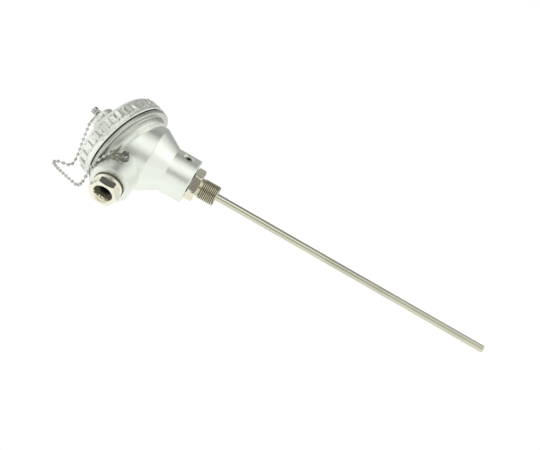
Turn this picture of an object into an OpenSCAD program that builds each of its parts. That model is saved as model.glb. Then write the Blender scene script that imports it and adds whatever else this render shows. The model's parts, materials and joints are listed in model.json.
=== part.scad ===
// Resistance temperature probe with a screw-cap connection head, lying at rest.
// Every piece is drawn about the probe's own axis (z = 0 at the sheath tip, z up to
// the head, x along the cable gland) and then laid on the floor by lay_down().
// Millimetres.

/* [Sheath] */
// Outside diameter of the measuring sheath
sheath_d = 6; // [3:0.5:12]
// Wall thickness of the sheath
sheath_wall = 0.8; // [0.4:0.1:1.5]
// Free length of the sheath, tip to thread
sheath_len = 250; // [80:5:600]
// Length of the measuring resistor behind the tip
sensor_len = 16; // [6:1:30]

/* [Process fitting] */
// Major diameter of the process thread
thread_d = 18; // [12:1:33]
// Pitch of the process thread
thread_pitch = 1.5; // [1:0.25:2.5]
// Length of the process thread
thread_len = 14.5; // [8:0.5:30]
// Width across the flats of the process hexagon
hex_af = 24; // [17:1:46]
// Thickness of the process hexagon
hex_t = 7.5; // [4:0.5:16]
// Width of the relief groove between thread and hexagon
relief_w = 1.7; // [1:0.1:4]

/* [Head body] */
// Diameter of the neck
neck_d = 38; // [28:1:50]
// Length of the neck's straight part
neck_len = 20.8; // [12:0.2:40]
// Length of the cone above the neck
cone_len = 15.7; // [6:0.1:25]
// Diameter of the round body above the cone
body_d = 56.6; // [44:0.2:80]
// Height of the middle of the rim above the cone
body_h = 21.4; // [16:0.2:50]
// Tilt of the rim and the cap against the probe's axis
cap_tilt = 22.5; // [0:0.5:35]
// Diameter of the rim flange
flange_d = 79; // [60:1:110]
// Thickness of the rim flange
flange_t = 2.6; // [1.5:0.1:6]
// Wall thickness of the casting
wall = 3.6; // [2:0.1:6]
// Diameter of the cable entry boss
boss_d = 34.6; // [24:0.2:46]
// Reach of the cable entry boss from the probe's axis
boss_reach = 46.8; // [40:0.2:80]
// Height of the cable entry above the cone
entry_h = 16.4; // [10:0.2:40]

/* [Cap] */
// Diameter of the cap over its grips
cap_d = 80; // [60:1:110]
// Height of the cap's side wall
cap_h = 15.5; // [8:0.5:30]
// Height of the dome over the side wall
dome_h = 12; // [2:0.5:18]
// Diameter of the disc in the middle of the cap
disc_d = 21; // [10:1:40]
// Height of the disc in the middle of the cap
disc_h = 5; // [1:0.5:10]
// Number of battlement grips round the cap
grips = 24; // [12:1:40]
// Depth of the battlement relief
grip_depth = 1.3; // [0.5:0.1:3]
// Wall thickness of the cap
cap_wall = 3; // [2:0.1:6]
// Thickness of the black rim gasket
gasket_t = 1.7; // [0.8:0.1:4]
// Width of the rim outside the cap's screw thread
rim_w = 8.5; // [5:0.5:14]
// Length of the cap's screw thread, the collar's height over the gasket
cap_thread_len = 8; // [4:0.5:15]

/* [Cable gland] */
// Width across the flats of the gland nut
gland_af = 22; // [16:1:34]
// Thickness of the gland nut
gland_nut_t = 7.5; // [4:0.5:14]
// Diameter of the gland's entry thread
gland_thread_d = 20; // [12:1:32]
// Diameter of the opening in the gland nut
gland_open_d = 15.6; // [6:0.1:24]
// Diameter of the cable hole in the seal
cable_d = 9; // [4:0.5:14]
// Thickness of the gland's collar
collar_t = 3; // [1.5:0.5:8]

/* [Chain] */
// Diameter of a chain ball
ball_d = 3.2; // [2:0.1:5]
// Spacing of the chain balls
ball_pitch = 4.5; // [3:0.1:7]
// Diameter of the wire between two balls
link_d = 1; // [0.6:0.1:2]
// Diameter of the chain's fixing screws
chain_screw_d = 4; // [3:0.5:6]

/* [Terminals] */
// Diameter of the insert plate
plate_d = 42; // [30:1:50]
// Thickness of the insert plate
plate_t = 2.5; // [1:0.5:5]
// Diameter of the ceramic terminal block
block_d = 34; // [24:1:44]
// Height of the ceramic terminal block
block_h = 9; // [6:0.5:16]
// Diameter of a lead wire
lead_d = 1.2; // [0.6:0.1:2]

/* [Fits] */
// Clearance all round a screwed or sliding fit
fit = 0.08; // [0.03:0.01:0.1]

/* [Hidden] */
// piece to draw, or all of them
$fn = 96;

// levels along the probe's own axis
hex_z = sheath_len + thread_len + relief_w;
neck_z = hex_z + hex_t;
cone_z = neck_z + neck_len;
body_z = cone_z + cone_len;
entry_z = body_z + entry_h;
rim_z = body_z + body_h;
neck_r = neck_d / 2;
body_r = body_d / 2;
flange_r = flange_d / 2;
cap_r = cap_d / 2;
boss_r = boss_d / 2;
chamber_r = body_r - wall;
floor_z = body_z - 1;
thread_r = flange_r - rim_w;
bowl_r = thread_r + wall;
cove_w = bowl_r - body_r;
cove_h = 6;
collar_r = thread_r - cap_wall;
collar_h = gasket_t + cap_thread_len;
rod_r = sheath_d / 2;
stem_r = rod_r - 0.3;
spigot_r = thread_d / 2 + 2;
spigot_len = neck_len * 0.75;

// top of the cap and the eyelet's place over it, from the flange's face
cap_top = gasket_t + cap_h + dome_h + disc_h;
eyelet_h = cap_top + 5;

// terminals
clamp_l = 7.2;
clamp_w = 6;
clamp_h = 5.6;
terminal_screw_d = 3;
insert_screw_d = 4;
spring_h = 5;
spring_r = insert_screw_d / 2 + 1.1;
plate_z = floor_z + 4;
block_z = plate_z + plate_t;
block_top = block_z + block_h;
post_x = plate_d * 0.4;
clamp_xy = [for (a = [35, 145, 215, 325]) block_d * 0.34 * [cos(a), sin(a)]];

// cable gland, along x
nut_x = boss_reach + collar_t + 0.9;
nut_end = nut_x + gland_nut_t;
nut_corner = gland_af / 2 / cos(30);
nut_bevel = (nut_corner - gland_af / 2) * tan(30);
sleeve_r = gland_af / 2 - 1.5;
seal_r = sleeve_r - 1.3;
seal_len = 6;
seal_sink = 5.6;
slip_t = 1.1;

// laying the probe down: the sheath's tip, the rim flange and the lowest corner of the
// gland nut all touch the floor
tip_bevel = 0.8;
rim_bevel = 0.6;
function lean(tau, c, n) = n == 0 ? [tau, c] :
    let (ct = sqrt(1 - tau * tau),
         q = sin(cap_tilt) * c * ct + cos(cap_tilt) * tau,
         t2 = (flange_r * sqrt(1 - q * q) + (flange_t - rim_bevel) * q
              - rod_r * ct + tip_bevel * tau) / rim_z,
         c2t = sqrt(1 - t2 * t2),
         k = c * c2t,
         c2 = (entry_z * t2 + rod_r * c2t - tip_bevel * t2 - nut_corner * sqrt(1 - k * k))
              / ((nut_end - nut_bevel) * c2t))
    lean(t2, c2, n - 1);
rest = lean(0.11, 0.4, 40);
tilt = asin(rest[0]);
roll = -90 - asin(rest[1]);
rest_z = rod_r * cos(tilt) - tip_bevel * sin(tilt);

// the same step for a single point
function about_z(a, p) = [p[0] * cos(a) - p[1] * sin(a), p[0] * sin(a) + p[1] * cos(a), p[2]];
function about_y(a, p) = [p[0] * cos(a) + p[2] * sin(a), p[1], p[2] * cos(a) - p[0] * sin(a)];
function turned(p) = about_y(tilt - 90, about_z(roll, p));
function on_rim(p) = [0, 0, rim_z] + about_y(-cap_tilt, p);

// the origin is under the middle of the whole object
nut_turn = atan2(sin(roll) * cos(tilt), sin(tilt));
front_y = min([for (k = [0 : 5]) let (a = nut_turn + 60 * k)
    turned([nut_end - nut_bevel, nut_corner * sin(a), entry_z - nut_corner * cos(a)])[1]]);
cap_n = turned(about_y(-cap_tilt, [0, 0, 1]));
back_y = turned(on_rim([0, 0, gasket_t + cap_h * 0.76]))[1]
    + (cap_r - 0.4) * sqrt(1 - cap_n[1] * cap_n[1]);
loop_x = turned(on_rim([0, 0, eyelet_h]))[0] - 17 - ball_d / 2;
mid = [(loop_x + (rod_r - tip_bevel) * sin(tilt)) / 2, (front_y + back_y) / 2, -rest_z];

module lay_down() {
    translate(-mid) rotate([0, tilt - 90, 0]) rotate([0, 0, roll]) children();
}
function laid(p) = turned(p) - mid;

// the rim's own frame: z out of the head, 0 on the flange's face
module at_rim(h = 0) {
    translate([0, 0, rim_z]) rotate([0, -cap_tilt, 0]) translate([0, 0, h]) children();
}

// the gland's own frame: z out of the head along the cable
module at_entry(d = 0) {
    translate([d, 0, entry_z]) rotate([0, 90, 0]) children();
}

module hexagon(af, h, bevel = true) {
    r = af / 2 / cos(30);
    b = (r - af / 2) * tan(30);
    intersection() {
        cylinder(r = r, h = h, $fn = 6);
        if (bevel) rotate_extrude()
            polygon([[0, 0], [af / 2, 0], [r, b], [r, h - b], [af / 2, h], [0, h]]);
    }
}

module tube(ro, ri, h) {
    difference() {
        cylinder(r = ro, h = h);
        translate([0, 0, -1]) cylinder(r = ri, h = h + 2);
    }
}

// ---------------------------------------------------------------- sheath and sensor

module sheath() color("#b9b2a2") lay_down() rotate_extrude() polygon([
    [0, 0], [rod_r - tip_bevel, 0], [rod_r - tip_bevel * 0.3, tip_bevel * 0.3],
    [rod_r, tip_bevel],
    [rod_r, sheath_len], [stem_r, sheath_len], [stem_r, block_z + 1.5],
    [rod_r - sheath_wall, block_z + 1.5],
    [rod_r - sheath_wall, 1.2], [0, 1.2]]);

module measuring_resistor() color("#e8e2d2") lay_down() translate([0, 0, 1.2])
    cylinder(r = rod_r - sheath_wall - 0.3, h = sensor_len);

module insulation_core() color("#cfc8b8") lay_down() translate([0, 0, 1.2 + sensor_len])
    cylinder(r = rod_r - sheath_wall - fit, h = block_z - sensor_len - 3);

module lead_wires() color("#c8482e") lay_down() for (p = clamp_xy) {
    a = atan2(p[1], p[0]);
    run = norm(p);
    turn = 2.2;
    start = 1.1;
    z0 = block_z - 1.8;
    z1 = block_top + 3;
    rotate([0, 0, a]) {
        translate([start, 0, z0]) cylinder(d = lead_d, h = z1 - z0, $fn = 24);
        translate([start + turn, 0, z1]) rotate([90, 0, 0]) rotate([0, 0, 90])
            rotate_extrude(angle = 90) translate([turn, 0]) circle(d = lead_d, $fn = 24);
        translate([start + turn, 0, z1 + turn]) rotate([0, 90, 0])
            cylinder(d = lead_d, h = run - start - 2 * turn, $fn = 24);
        translate([run - turn, 0, z1]) rotate([90, 0, 0])
            rotate_extrude(angle = 90) translate([turn, 0]) circle(d = lead_d, $fn = 24);
        translate([run, 0, block_top - 1.5]) cylinder(d = lead_d, h = z1 - block_top + 1.5, $fn = 24);
    }
}

// ---------------------------------------------------------------- process fitting

module process_fitting() color("#b3a98f") lay_down() difference() {
    union() {
        translate([0, 0, sheath_len]) rotate_extrude() polygon([
            [0, 0], [thread_d / 2 - 1.2, 0], [thread_d / 2, 1], [thread_d / 2, thread_len - 0.6],
            [thread_d / 2 - 1.1, thread_len], [thread_d / 2 - 1.1, thread_len + relief_w + 1],
            [0, thread_len + relief_w + 1]]);
        translate([0, 0, hex_z]) rotate([0, 0, 14]) hexagon(hex_af, hex_t);
        translate([0, 0, neck_z - 1]) cylinder(r = spigot_r - fit, h = spigot_len + 1);
    }
    translate([0, 0, sheath_len - 1]) cylinder(r = stem_r + fit, h = thread_len + hex_t + spigot_len + 10);
}

// ---------------------------------------------------------------- head body

module body_outside() {
    rotate_extrude() polygon([
        [0, neck_z], [neck_r - 0.8, neck_z], [neck_r, neck_z + 0.8], [neck_r, cone_z],
        [body_r - 0.4, body_z - 0.6], [body_r, body_z + 0.4], [body_r, rim_z + 20],
        [0, rim_z + 20]]);
    at_rim() rotate_extrude() polygon([
        [0, 0], [flange_r - rim_bevel, 0], [flange_r, -rim_bevel],
        [flange_r, -flange_t + rim_bevel], [flange_r - rim_bevel, -flange_t],
        [bowl_r + 0.6, -flange_t], [bowl_r, -flange_t - 0.6],
        for (a = [0 : 15 : 90]) [bowl_r - cove_w + cove_w * cos(a), -flange_t - 0.6 - cove_h * sin(a)],
        [0, -flange_t - 0.6 - cove_h]]);
    at_entry() cylinder(r = boss_r, h = boss_reach - 1.2);
    at_entry(boss_reach - 1.2) cylinder(r1 = boss_r, r2 = boss_r - 1.2, h = 1.2);
    chain_lug();
}

// a small flat pad on the cable entry boss for the chain's screw
lug_x = body_r + 2.3;
lug_h = 0.7;
pad_r = 4.4;
module at_lug() {
    translate([lug_x, boss_r + lug_h, entry_z]) rotate([-90, 0, 0]) children();
}
module chain_lug() {
    at_lug() translate([0, 0, -4]) cylinder(r = pad_r, h = 4);
}

module head_body() color("#b4b8b4") lay_down() difference() {
    union() {
        intersection() {
            body_outside();
            at_rim(-200) cylinder(r = 200, h = 200);
        }
        // the collar that the cap screws on
        at_rim(-1) rotate_extrude() polygon([
            [0, 0], [thread_r, 0], [thread_r, collar_h + 0.2], [thread_r - 0.8, collar_h + 1],
            [0, collar_h + 1]]);
    }
    // chamber, with two posts for the insert's screws
    intersection() {
        translate([0, 0, floor_z]) difference() {
            cylinder(r = chamber_r, h = 80);
            for (s = [-1, 1]) translate([0, s * post_x, -1])
                cylinder(r = 4, h = plate_z - floor_z + 1, $fn = 48);
        }
        at_rim(-200) cylinder(r = 200, h = 199);
    }
    at_rim(-2) cylinder(r = collar_r, h = collar_h + 4);
    // wire way and the fitting's thread in the neck
    translate([0, 0, neck_z - 1]) cylinder(r = spigot_r, h = spigot_len + 1.6);
    cylinder(r = 8, h = body_z + 5);
    // cable entry
    at_entry(chamber_r - 6) cylinder(r = gland_thread_d / 2 - 1.2, h = 60);
    at_entry(boss_reach - 12) cylinder(r = gland_thread_d / 2 + fit, h = 13);
    // screw holes
    for (s = [-1, 1]) translate([0, s * post_x, floor_z - 5]) cylinder(d = insert_screw_d + 2 * fit, h = 20, $fn = 48);
    at_lug() translate([0, 0, -5.4]) cylinder(d = chain_screw_d + 2 * fit, h = 10, $fn = 48);
    set_screw_place() translate([0, 0, -1]) cylinder(d = 6 + 2 * fit, h = 30, $fn = 48);
    set_screw_place() translate([0, 0, neck_r - spigot_r - 1.6]) cylinder(d = 9, h = 10, $fn = 48);
}

// the set screw that keeps the fitting from turning in the neck
set_screw_a = 105;
module set_screw_place() {
    rotate([0, 0, set_screw_a]) translate([spigot_r - fit, 0, neck_z + neck_len / 2])
        rotate([0, 90, 0]) children();
}

module neck_set_screw() color("#8d8a7e") lay_down() set_screw_place() difference() {
    cylinder(d = 6, h = neck_r - spigot_r - 1.2, $fn = 48);
    translate([0, 0, neck_r - spigot_r - 4]) cylinder(d = 3.4, h = 5, $fn = 6);
}

// ---------------------------------------------------------------- gasket and cap

module cap_gasket() color("#161616") lay_down() at_rim() rotate_extrude() polygon([
    [thread_r + 1.5, 0], [flange_r - 0.1, 0], [flange_r + 0.3, gasket_t / 2],
    [flange_r - 0.1, gasket_t], [thread_r + 1.5, gasket_t]]);

module cap() color("#a3a7a2") lay_down() at_rim(gasket_t) {
    root = cap_r - grip_depth;
    top_r = cap_r - 4;
    difference() {
        union() {
            rotate_extrude() polygon([
                [0, 0], [root, 0], [root, 2], [root - 0.5, cap_h - 3],
                [root - 1.3, cap_h - 1.1], [top_r, cap_h],
                [disc_d / 2 + 12, cap_h + dome_h * 0.45],
                [disc_d / 2 + 2.5, cap_h + dome_h * 0.9], [disc_d / 2, cap_h + dome_h],
                [disc_d / 2, cap_h + dome_h + disc_h - 0.8],
                [disc_d / 2 - 0.8, cap_h + dome_h + disc_h], [0, cap_h + dome_h + disc_h]]);
            battlement();
        }
        // inside of the cap
        translate([0, 0, -1]) rotate_extrude() polygon([
            [0, 0], [thread_r + fit, 0], [thread_r + fit, cap_h - cap_wall + 1],
            [disc_d / 2 + 8, cap_h + dome_h * 0.45 - cap_wall + 1],
            [disc_d / 2, cap_h + dome_h - cap_wall + 1], [0, cap_h + dome_h - cap_wall + 1]]);
        translate([0, 0, cap_h + dome_h - cap_wall + 2]) cylinder(d = chain_screw_d + 0.6, h = 20, $fn = 48);
    }
}

// raised wall-and-battlement relief round the cap's side
module battlement() {
    low = cap_h * 0.32;
    high = cap_h * 0.76;
    r_low = cap_r;
    r_high = cap_r - 0.4;
    rotate_extrude() polygon([
        [cap_r - 6, 0], [r_low - 0.5, 0], [r_low, 0.6], [r_low - 0.15, low], [cap_r - 6, low]]);
    intersection() {
        rotate_extrude() polygon([
            [cap_r - 6, low - 1], [r_low - 0.1, low - 1], [r_high, high], [cap_r - 6, high]]);
        for (i = [0 : grips - 1]) rotate([0, 0, i * 360 / grips])
            translate([cap_r - 8, -cap_r * sin(90 / grips), 0])
                cube([12, 2 * cap_r * sin(90 / grips), 20]);
    }
}

// ---------------------------------------------------------------- chain and its fixings

module cap_chain_screw() color("#c9c2b0") lay_down() at_rim(cap_top) difference() {
    union() {
        translate([0, 0, -disc_h - 1]) cylinder(d = chain_screw_d, h = disc_h + 8.4, $fn = 48);
        translate([0, 0, 7.2]) cylinder(d = chain_screw_d + 2.4, h = 2.6, $fn = 48);
    }
    translate([-5, -0.5, 8.6]) cube([10, 1, 3]);
}

module wire_ring(r, d) {
    rotate_extrude() translate([r, 0]) circle(d = d, $fn = 24);
}

// a ring round the screw, and the plumb wire loop that holds the chain's end
module cap_chain_eyelet() color("#bdb7a6") {
    ring_r = chain_screw_d / 2 + 0.9;
    lay_down() at_rim(eyelet_h) wire_ring(ring_r, 1.2);
    loop_top = eye + [-ring_r * 0.27, ring_r * 0.1, -ring_r * 0.96];
    loop_end = way[1] + [0.2, 0.2, ball_r + 0.25];
    v = loop_end - loop_top;
    translate(loop_top) rotate([0, acos(v[2] / norm(v)), atan2(v[1], v[0])]) {
        for (s = [-1, 1]) translate([0, s * 0.75, 0.4]) cylinder(d = 0.9, h = norm(v) - 0.85, $fn = 24);
        translate([0, 0, norm(v) - 0.45]) rotate([90, 0, 0]) translate([0, 0, -1.2])
            cylinder(d = 0.9, h = 2.4, $fn = 24);
    }
}

// a teardrop of wire, round the screw at one end and at the chain's last ball at the
// other; it leans down to the boss
module body_chain_clasp() color("#8f8a78") lay_down() at_lug()
    translate([0, 0, clasp_z]) rotate([0, 0, clasp_a]) rotate([0, clasp_lean, 0]) {
        half = asin((clasp_r - clasp_tip_r) / clasp_len);
        side = 90 - half;
        rotate([0, 0, side]) rotate_extrude(angle = 360 - 2 * side)
            translate([clasp_r, 0]) circle(d = clasp_d, $fn = 24);
        translate([clasp_len, 0, 0]) rotate([0, 0, -side]) rotate_extrude(angle = 2 * side)
            translate([clasp_tip_r, 0]) circle(d = clasp_d, $fn = 24);
        for (s = [-1, 1]) rotate([0, 0, s * side]) translate([clasp_r, -s * 0.2, 0])
            rotate([s * 90, 0, 0]) translate([0, 0, -0.4])
                cylinder(d = clasp_d - 0.06, h = clasp_len * cos(half) + 0.4, $fn = 24);
    }

module body_chain_screw() color("#8f8a78") lay_down() at_lug() difference() {
    head_z = clasp_z + (clasp_r + clasp_d) * sin(clasp_lean) + clasp_d / 2;
    union() {
        translate([0, 0, -5]) cylinder(d = chain_screw_d, h = 5.2 + head_z, $fn = 48);
        translate([0, 0, head_z]) cylinder(d = chain_screw_d + 1.6, h = 1.8, $fn = 48);
    }
    translate([-5, -0.5, head_z + 1]) cube([10, 1, 3]);
}

// the chain's way, on the floor's own axes: it hangs from the eyelet, lies in one loop
// on the floor and comes up over the cable entry boss to its screw
// share runs from the chain's screw, 0, to the end of the boss, 1
function on_boss(share, a) = laid([lug_x + share * (boss_reach - lug_x),
    ride_r * cos(a), entry_z + ride_r * sin(a)]);

ball_r = ball_d / 2;
ride_r = boss_r + ball_r + 0.25;
clasp_a = -79;
clasp_lean = 14;
clasp_d = 1.2;
clasp_r = 3.2;
clasp_tip_r = 1.2;
clasp_len = 8.2;
clasp_z = pad_r * tan(clasp_lean) + clasp_d / 2 + 0.1;
clasp_end = clasp_len + clasp_tip_r + clasp_d / 2 + 0.2 + ball_r;
hook = laid([lug_x + clasp_end * cos(clasp_lean) * cos(clasp_a),
    boss_r + lug_h + clasp_z - clasp_end * sin(clasp_lean),
    entry_z - clasp_end * cos(clasp_lean) * sin(clasp_a)]);
eye = laid(on_rim([0, 0, eyelet_h]));
hang = [-3.4, -2];
way = [
    eye + [-3, -1.6, -7], eye + [-3.2, -1.9, -11], eye + [-3.3, -2, -15],
    [eye[0] + hang[0], eye[1] + hang[1], 20], [eye[0] + hang[0], eye[1] + hang[1], 8],
    [eye[0] - 4.4, eye[1] - 4.4, ball_r + 0.6], [eye[0] - 7, eye[1] - 8.8, ball_r],
    [eye[0] - 12.4, eye[1] - 10.2, ball_r], [eye[0] - 16.4, eye[1] - 12.4, ball_r],
    [eye[0] - 16.4, eye[1] - 17.6, ball_r], [eye[0] - 12.8, eye[1] - 23.4, ball_r],
    [eye[0] - 5.5, eye[1] - 30.5, ball_r], [eye[0] + 5, eye[1] - 38.9, ball_r],
    [eye[0] + 11.5, eye[1] - 43.6, ball_r], [eye[0] + 14.6, eye[1] - 47, ball_r + 2],
    on_boss(0.8, 95) + [-1.4, -1.2, -9], on_boss(0.73, 88), on_boss(0.6, 70),
    on_boss(0.36, 50), hook, on_boss(0, 10)];
steps = 12;
function spline(p, i, t) = 0.5 * (2 * p[i] + (p[i + 1] - p[i - 1]) * t
    + (2 * p[i - 1] - 5 * p[i] + 4 * p[i + 1] - p[i + 2]) * t * t
    + (3 * p[i] - p[i - 1] - 3 * p[i + 1] + p[i + 2]) * t * t * t);
route = [for (i = [1 : len(way) - 3]) for (k = [0 : steps - 1]) spline(way, i, k / steps)];
run = [for (i = 0, s = 0; i < len(route); s = s + (i + 1 < len(route) ?
    norm(route[i + 1] - route[i]) : 0), i = i + 1) s];
chain_len = run[len(run) - 1];
balls = floor(chain_len / ball_pitch);
function along(s, k) = lookup(s, [for (i = [0 : len(run) - 1]) [run[i], route[i][k]]]);
ball_at = [for (j = [0 : balls]) let (s = j * chain_len / balls)
    [along(s, 0), along(s, 1), max(ball_r, along(s, 2))]];

// the wire between two balls, from one shell to the next
module link(a, b) {
    v = b - a;
    bare = norm(v) - ball_d - 0.04;
    translate(a) rotate([0, acos(v[2] / norm(v)), atan2(v[1], v[0])])
        translate([0, 0, ball_r + 0.02]) cylinder(d = link_d, h = bare, $fn = 13);
}

module bead_chain() color("#b7b2a4") {
    for (p = ball_at) translate(p) sphere(d = ball_d, $fn = 14);
    for (j = [0 : balls - 1]) link(ball_at[j], ball_at[j + 1]);
}

// ---------------------------------------------------------------- cable gland

module gland_washer() color("#1c1c1c") lay_down() at_entry(boss_reach)
    tube(gland_thread_d / 2 + 2.6, gland_thread_d / 2 + fit, 0.9);

module gland_body() color("#b9ad92") lay_down() difference() {
    union() {
        at_entry(boss_reach - 10) cylinder(r = gland_thread_d / 2, h = 11.5);
        at_entry(boss_reach + 0.9) rotate_extrude() polygon([
            [0, 0], [gland_af / 2 + 0.6, 0], [gland_af / 2 + 1.2, 0.6],
            [gland_af / 2 + 1.2, collar_t - 1.3], [gland_af / 2, collar_t - 0.3], [0, collar_t - 0.3]]);
        at_entry(nut_x - 1) cylinder(r = sleeve_r - fit, h = gland_nut_t - 1.5);
    }
    at_entry(boss_reach - 20) cylinder(r = cable_d / 2 + 0.6, h = 60);
    at_entry(nut_x - seal_sink) cylinder(r = seal_r + fit, h = 20);
}

module gland_seal() color("#3a3626") lay_down() at_entry(nut_x - seal_sink)
    tube(seal_r, cable_d / 2, seal_len);

// the ring the nut presses on the seal; it comes out with the nut and doesn't turn
module gland_slip_ring() color("#55503c") lay_down() at_entry(nut_x - seal_sink + seal_len + 0.05)
    tube(seal_r, cable_d / 2 + 0.8, slip_t);

module gland_nut() color("#b9ad92") lay_down() at_entry(nut_x) difference() {
    press_z = seal_len + slip_t + 0.1 - seal_sink;
    union() {
        difference() {
            rotate([0, 0, nut_turn]) hexagon(gland_af, gland_nut_t);
            translate([0, 0, -1]) cylinder(r = sleeve_r, h = gland_nut_t - 0.8);
        }
        translate([0, 0, press_z]) cylinder(r = seal_r, h = gland_nut_t - 1 - press_z);
    }
    translate([0, 0, press_z - 1]) cylinder(d = gland_open_d - 2, h = gland_nut_t + 5);
    translate([0, 0, gland_nut_t - 4]) cylinder(d1 = gland_open_d - 2, d2 = gland_open_d, h = 3.2);
    translate([0, 0, gland_nut_t - 0.8]) cylinder(d1 = gland_open_d, d2 = gland_open_d + 1.8, h = 0.9);
}

// ---------------------------------------------------------------- terminals

module insert_plate() color("#c4bfae") lay_down() translate([0, 0, plate_z]) difference() {
    cylinder(d = plate_d, h = plate_t);
    translate([0, 0, -1]) cylinder(r = stem_r + fit, h = plate_t + 2);
    for (s = [-1, 1]) translate([0, s * post_x, -1]) cylinder(d = insert_screw_d + 0.4, h = plate_t + 2, $fn = 48);
}

module terminal_block() color("#e9e6dc") lay_down() translate([0, 0, block_z]) difference() {
    cylinder(d = block_d, h = block_h);
    translate([0, 0, -1]) cylinder(r = rod_r + 1.2, h = block_h + 2);
    for (s = [-1, 1]) translate([0, s * post_x, -1]) cylinder(r = spring_r + 1.2, h = block_h + 2, $fn = 48);
    for (p = clamp_xy) translate([p[0], p[1], block_h - clamp_h + 0.6]) rotate([0, 0, atan2(p[1], p[0])])
        translate([-clamp_l / 3 - 0.2, -clamp_w / 2 - 0.1, 0]) cube([clamp_l + 1.2, clamp_w + 0.2, clamp_h]);
}

module terminal_clamps() color("#c9a85a") lay_down() for (p = clamp_xy)
    translate([p[0], p[1], block_top - clamp_h + 0.6]) rotate([0, 0, atan2(p[1], p[0])]) difference() {
        translate([-clamp_l / 3, -clamp_w / 2, 0]) cube([clamp_l, clamp_w, clamp_h]);
        translate([0, 0, clamp_h - 3]) cylinder(d = lead_d + 0.2, h = 5, $fn = 24);
        translate([clamp_l * 0.39, 0, 1]) cylinder(d = terminal_screw_d + 0.1, h = clamp_h, $fn = 24);
    }

module terminal_screws() color("#b8b2a0") lay_down() for (p = clamp_xy)
    translate([p[0], p[1], block_top - clamp_h + 1.8]) rotate([0, 0, atan2(p[1], p[0])])
        translate([clamp_l * 0.39, 0, 0]) difference() {
            head_z = clamp_h - 1.2;
            union() {
                cylinder(d = terminal_screw_d, h = head_z + 0.2, $fn = 24);
                translate([0, 0, head_z]) cylinder(d = terminal_screw_d + 0.9, h = 1.8, $fn = 24);
            }
            translate([-terminal_screw_d, -0.4, head_z + 0.8]) cube([2 * terminal_screw_d, 0.8, 2]);
        }

module insert_screws() color("#b8b2a0") lay_down() for (s = [-1, 1])
    translate([0, s * post_x, floor_z - 2]) difference() {
        head_z = block_z - floor_z + spring_h + 2;
        union() {
            cylinder(d = insert_screw_d, h = head_z + 0.4, $fn = 48);
            translate([0, 0, head_z]) cylinder(d = insert_screw_d + 3, h = 2.6, $fn = 48);
        }
        translate([-insert_screw_d, -0.5, head_z + 1.4]) cube([2 * insert_screw_d, 1, 3]);
    }

module insert_springs() color("#9a958a") lay_down() for (s = [-1, 1])
    translate([0, s * post_x, block_z]) tube(spring_r, insert_screw_d / 2 + 0.3, spring_h);

// ---------------------------------------------------------------- pieces

head_body();
cap();
cap_gasket();
cap_chain_screw();
cap_chain_eyelet();
bead_chain();
body_chain_clasp();
body_chain_screw();
gland_body();
gland_washer();
gland_seal();
gland_slip_ring();
gland_nut();
neck_set_screw();
process_fitting();
sheath();
measuring_resistor();
insulation_core();
lead_wires();
insert_plate();
terminal_block();
terminal_clamps();
terminal_screws();
insert_screws();
insert_springs();
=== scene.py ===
"""Dresses the laid-down resistance temperature probe and sets it in a white light tent.

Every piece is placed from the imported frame: the probe's axis and thread from its
mounts, the cap's and the gland nut's axes from their joints. Sizes that the frame doesn't
hold are fields of the classes.
"""

import json
import logging
import math
from collections.abc import Callable
from dataclasses import dataclass
from enum import Enum

import bmesh
import bpy
from mathutils import Matrix, Vector

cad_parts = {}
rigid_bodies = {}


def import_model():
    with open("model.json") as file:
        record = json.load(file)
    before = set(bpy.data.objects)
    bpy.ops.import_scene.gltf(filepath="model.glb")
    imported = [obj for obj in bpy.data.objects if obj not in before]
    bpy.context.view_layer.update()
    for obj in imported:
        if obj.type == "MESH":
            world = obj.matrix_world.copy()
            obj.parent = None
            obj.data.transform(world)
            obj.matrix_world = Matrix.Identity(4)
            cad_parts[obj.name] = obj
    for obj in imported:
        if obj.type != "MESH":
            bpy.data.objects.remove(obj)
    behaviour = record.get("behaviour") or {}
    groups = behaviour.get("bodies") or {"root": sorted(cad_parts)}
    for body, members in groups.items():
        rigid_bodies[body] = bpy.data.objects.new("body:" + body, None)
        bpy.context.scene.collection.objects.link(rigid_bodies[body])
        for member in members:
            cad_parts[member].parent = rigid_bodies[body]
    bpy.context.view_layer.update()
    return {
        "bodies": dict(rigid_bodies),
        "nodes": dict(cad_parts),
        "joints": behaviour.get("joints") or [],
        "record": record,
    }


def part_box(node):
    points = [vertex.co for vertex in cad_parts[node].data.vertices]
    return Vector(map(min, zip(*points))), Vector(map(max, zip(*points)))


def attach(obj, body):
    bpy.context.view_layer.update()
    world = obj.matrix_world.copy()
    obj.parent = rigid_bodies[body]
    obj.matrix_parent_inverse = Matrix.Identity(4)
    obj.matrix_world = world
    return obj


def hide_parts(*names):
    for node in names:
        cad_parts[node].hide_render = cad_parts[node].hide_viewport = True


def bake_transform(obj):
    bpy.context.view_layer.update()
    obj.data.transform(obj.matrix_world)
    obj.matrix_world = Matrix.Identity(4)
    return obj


LOG = logging.getLogger("probe")
MM = 0.001
MERGE = 2e-6
VECTOR, NUMBER = "NodeSocketVector", "NodeSocketFloat"


# ------------------------------------------------------------------ the frame's own axes


@dataclass(frozen=True)
class Line:
    """A directed line in the frame: a point on it and its unit direction."""

    point: Vector
    way: Vector


def axes(origin: Vector, x: Vector, z: Vector) -> Matrix:
    """A placement from its origin and two of its directions.

    Args:
        origin: Where the placement's origin lies.
        x: The direction near which its +X lies.
        z: The direction of its +Z.

    Returns:
        The 4x4 placement matrix.
    """
    z = z.normalized()
    y = z.cross(x).normalized()
    turn = Matrix((y.cross(z), y, z)).transposed().to_4x4()
    return Matrix.Translation(origin) @ turn


def middle_of(node: str) -> Vector:
    """The middle of a node's box."""
    return sum((Vector(corner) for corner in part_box(node)), Vector()) / 2


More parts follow.
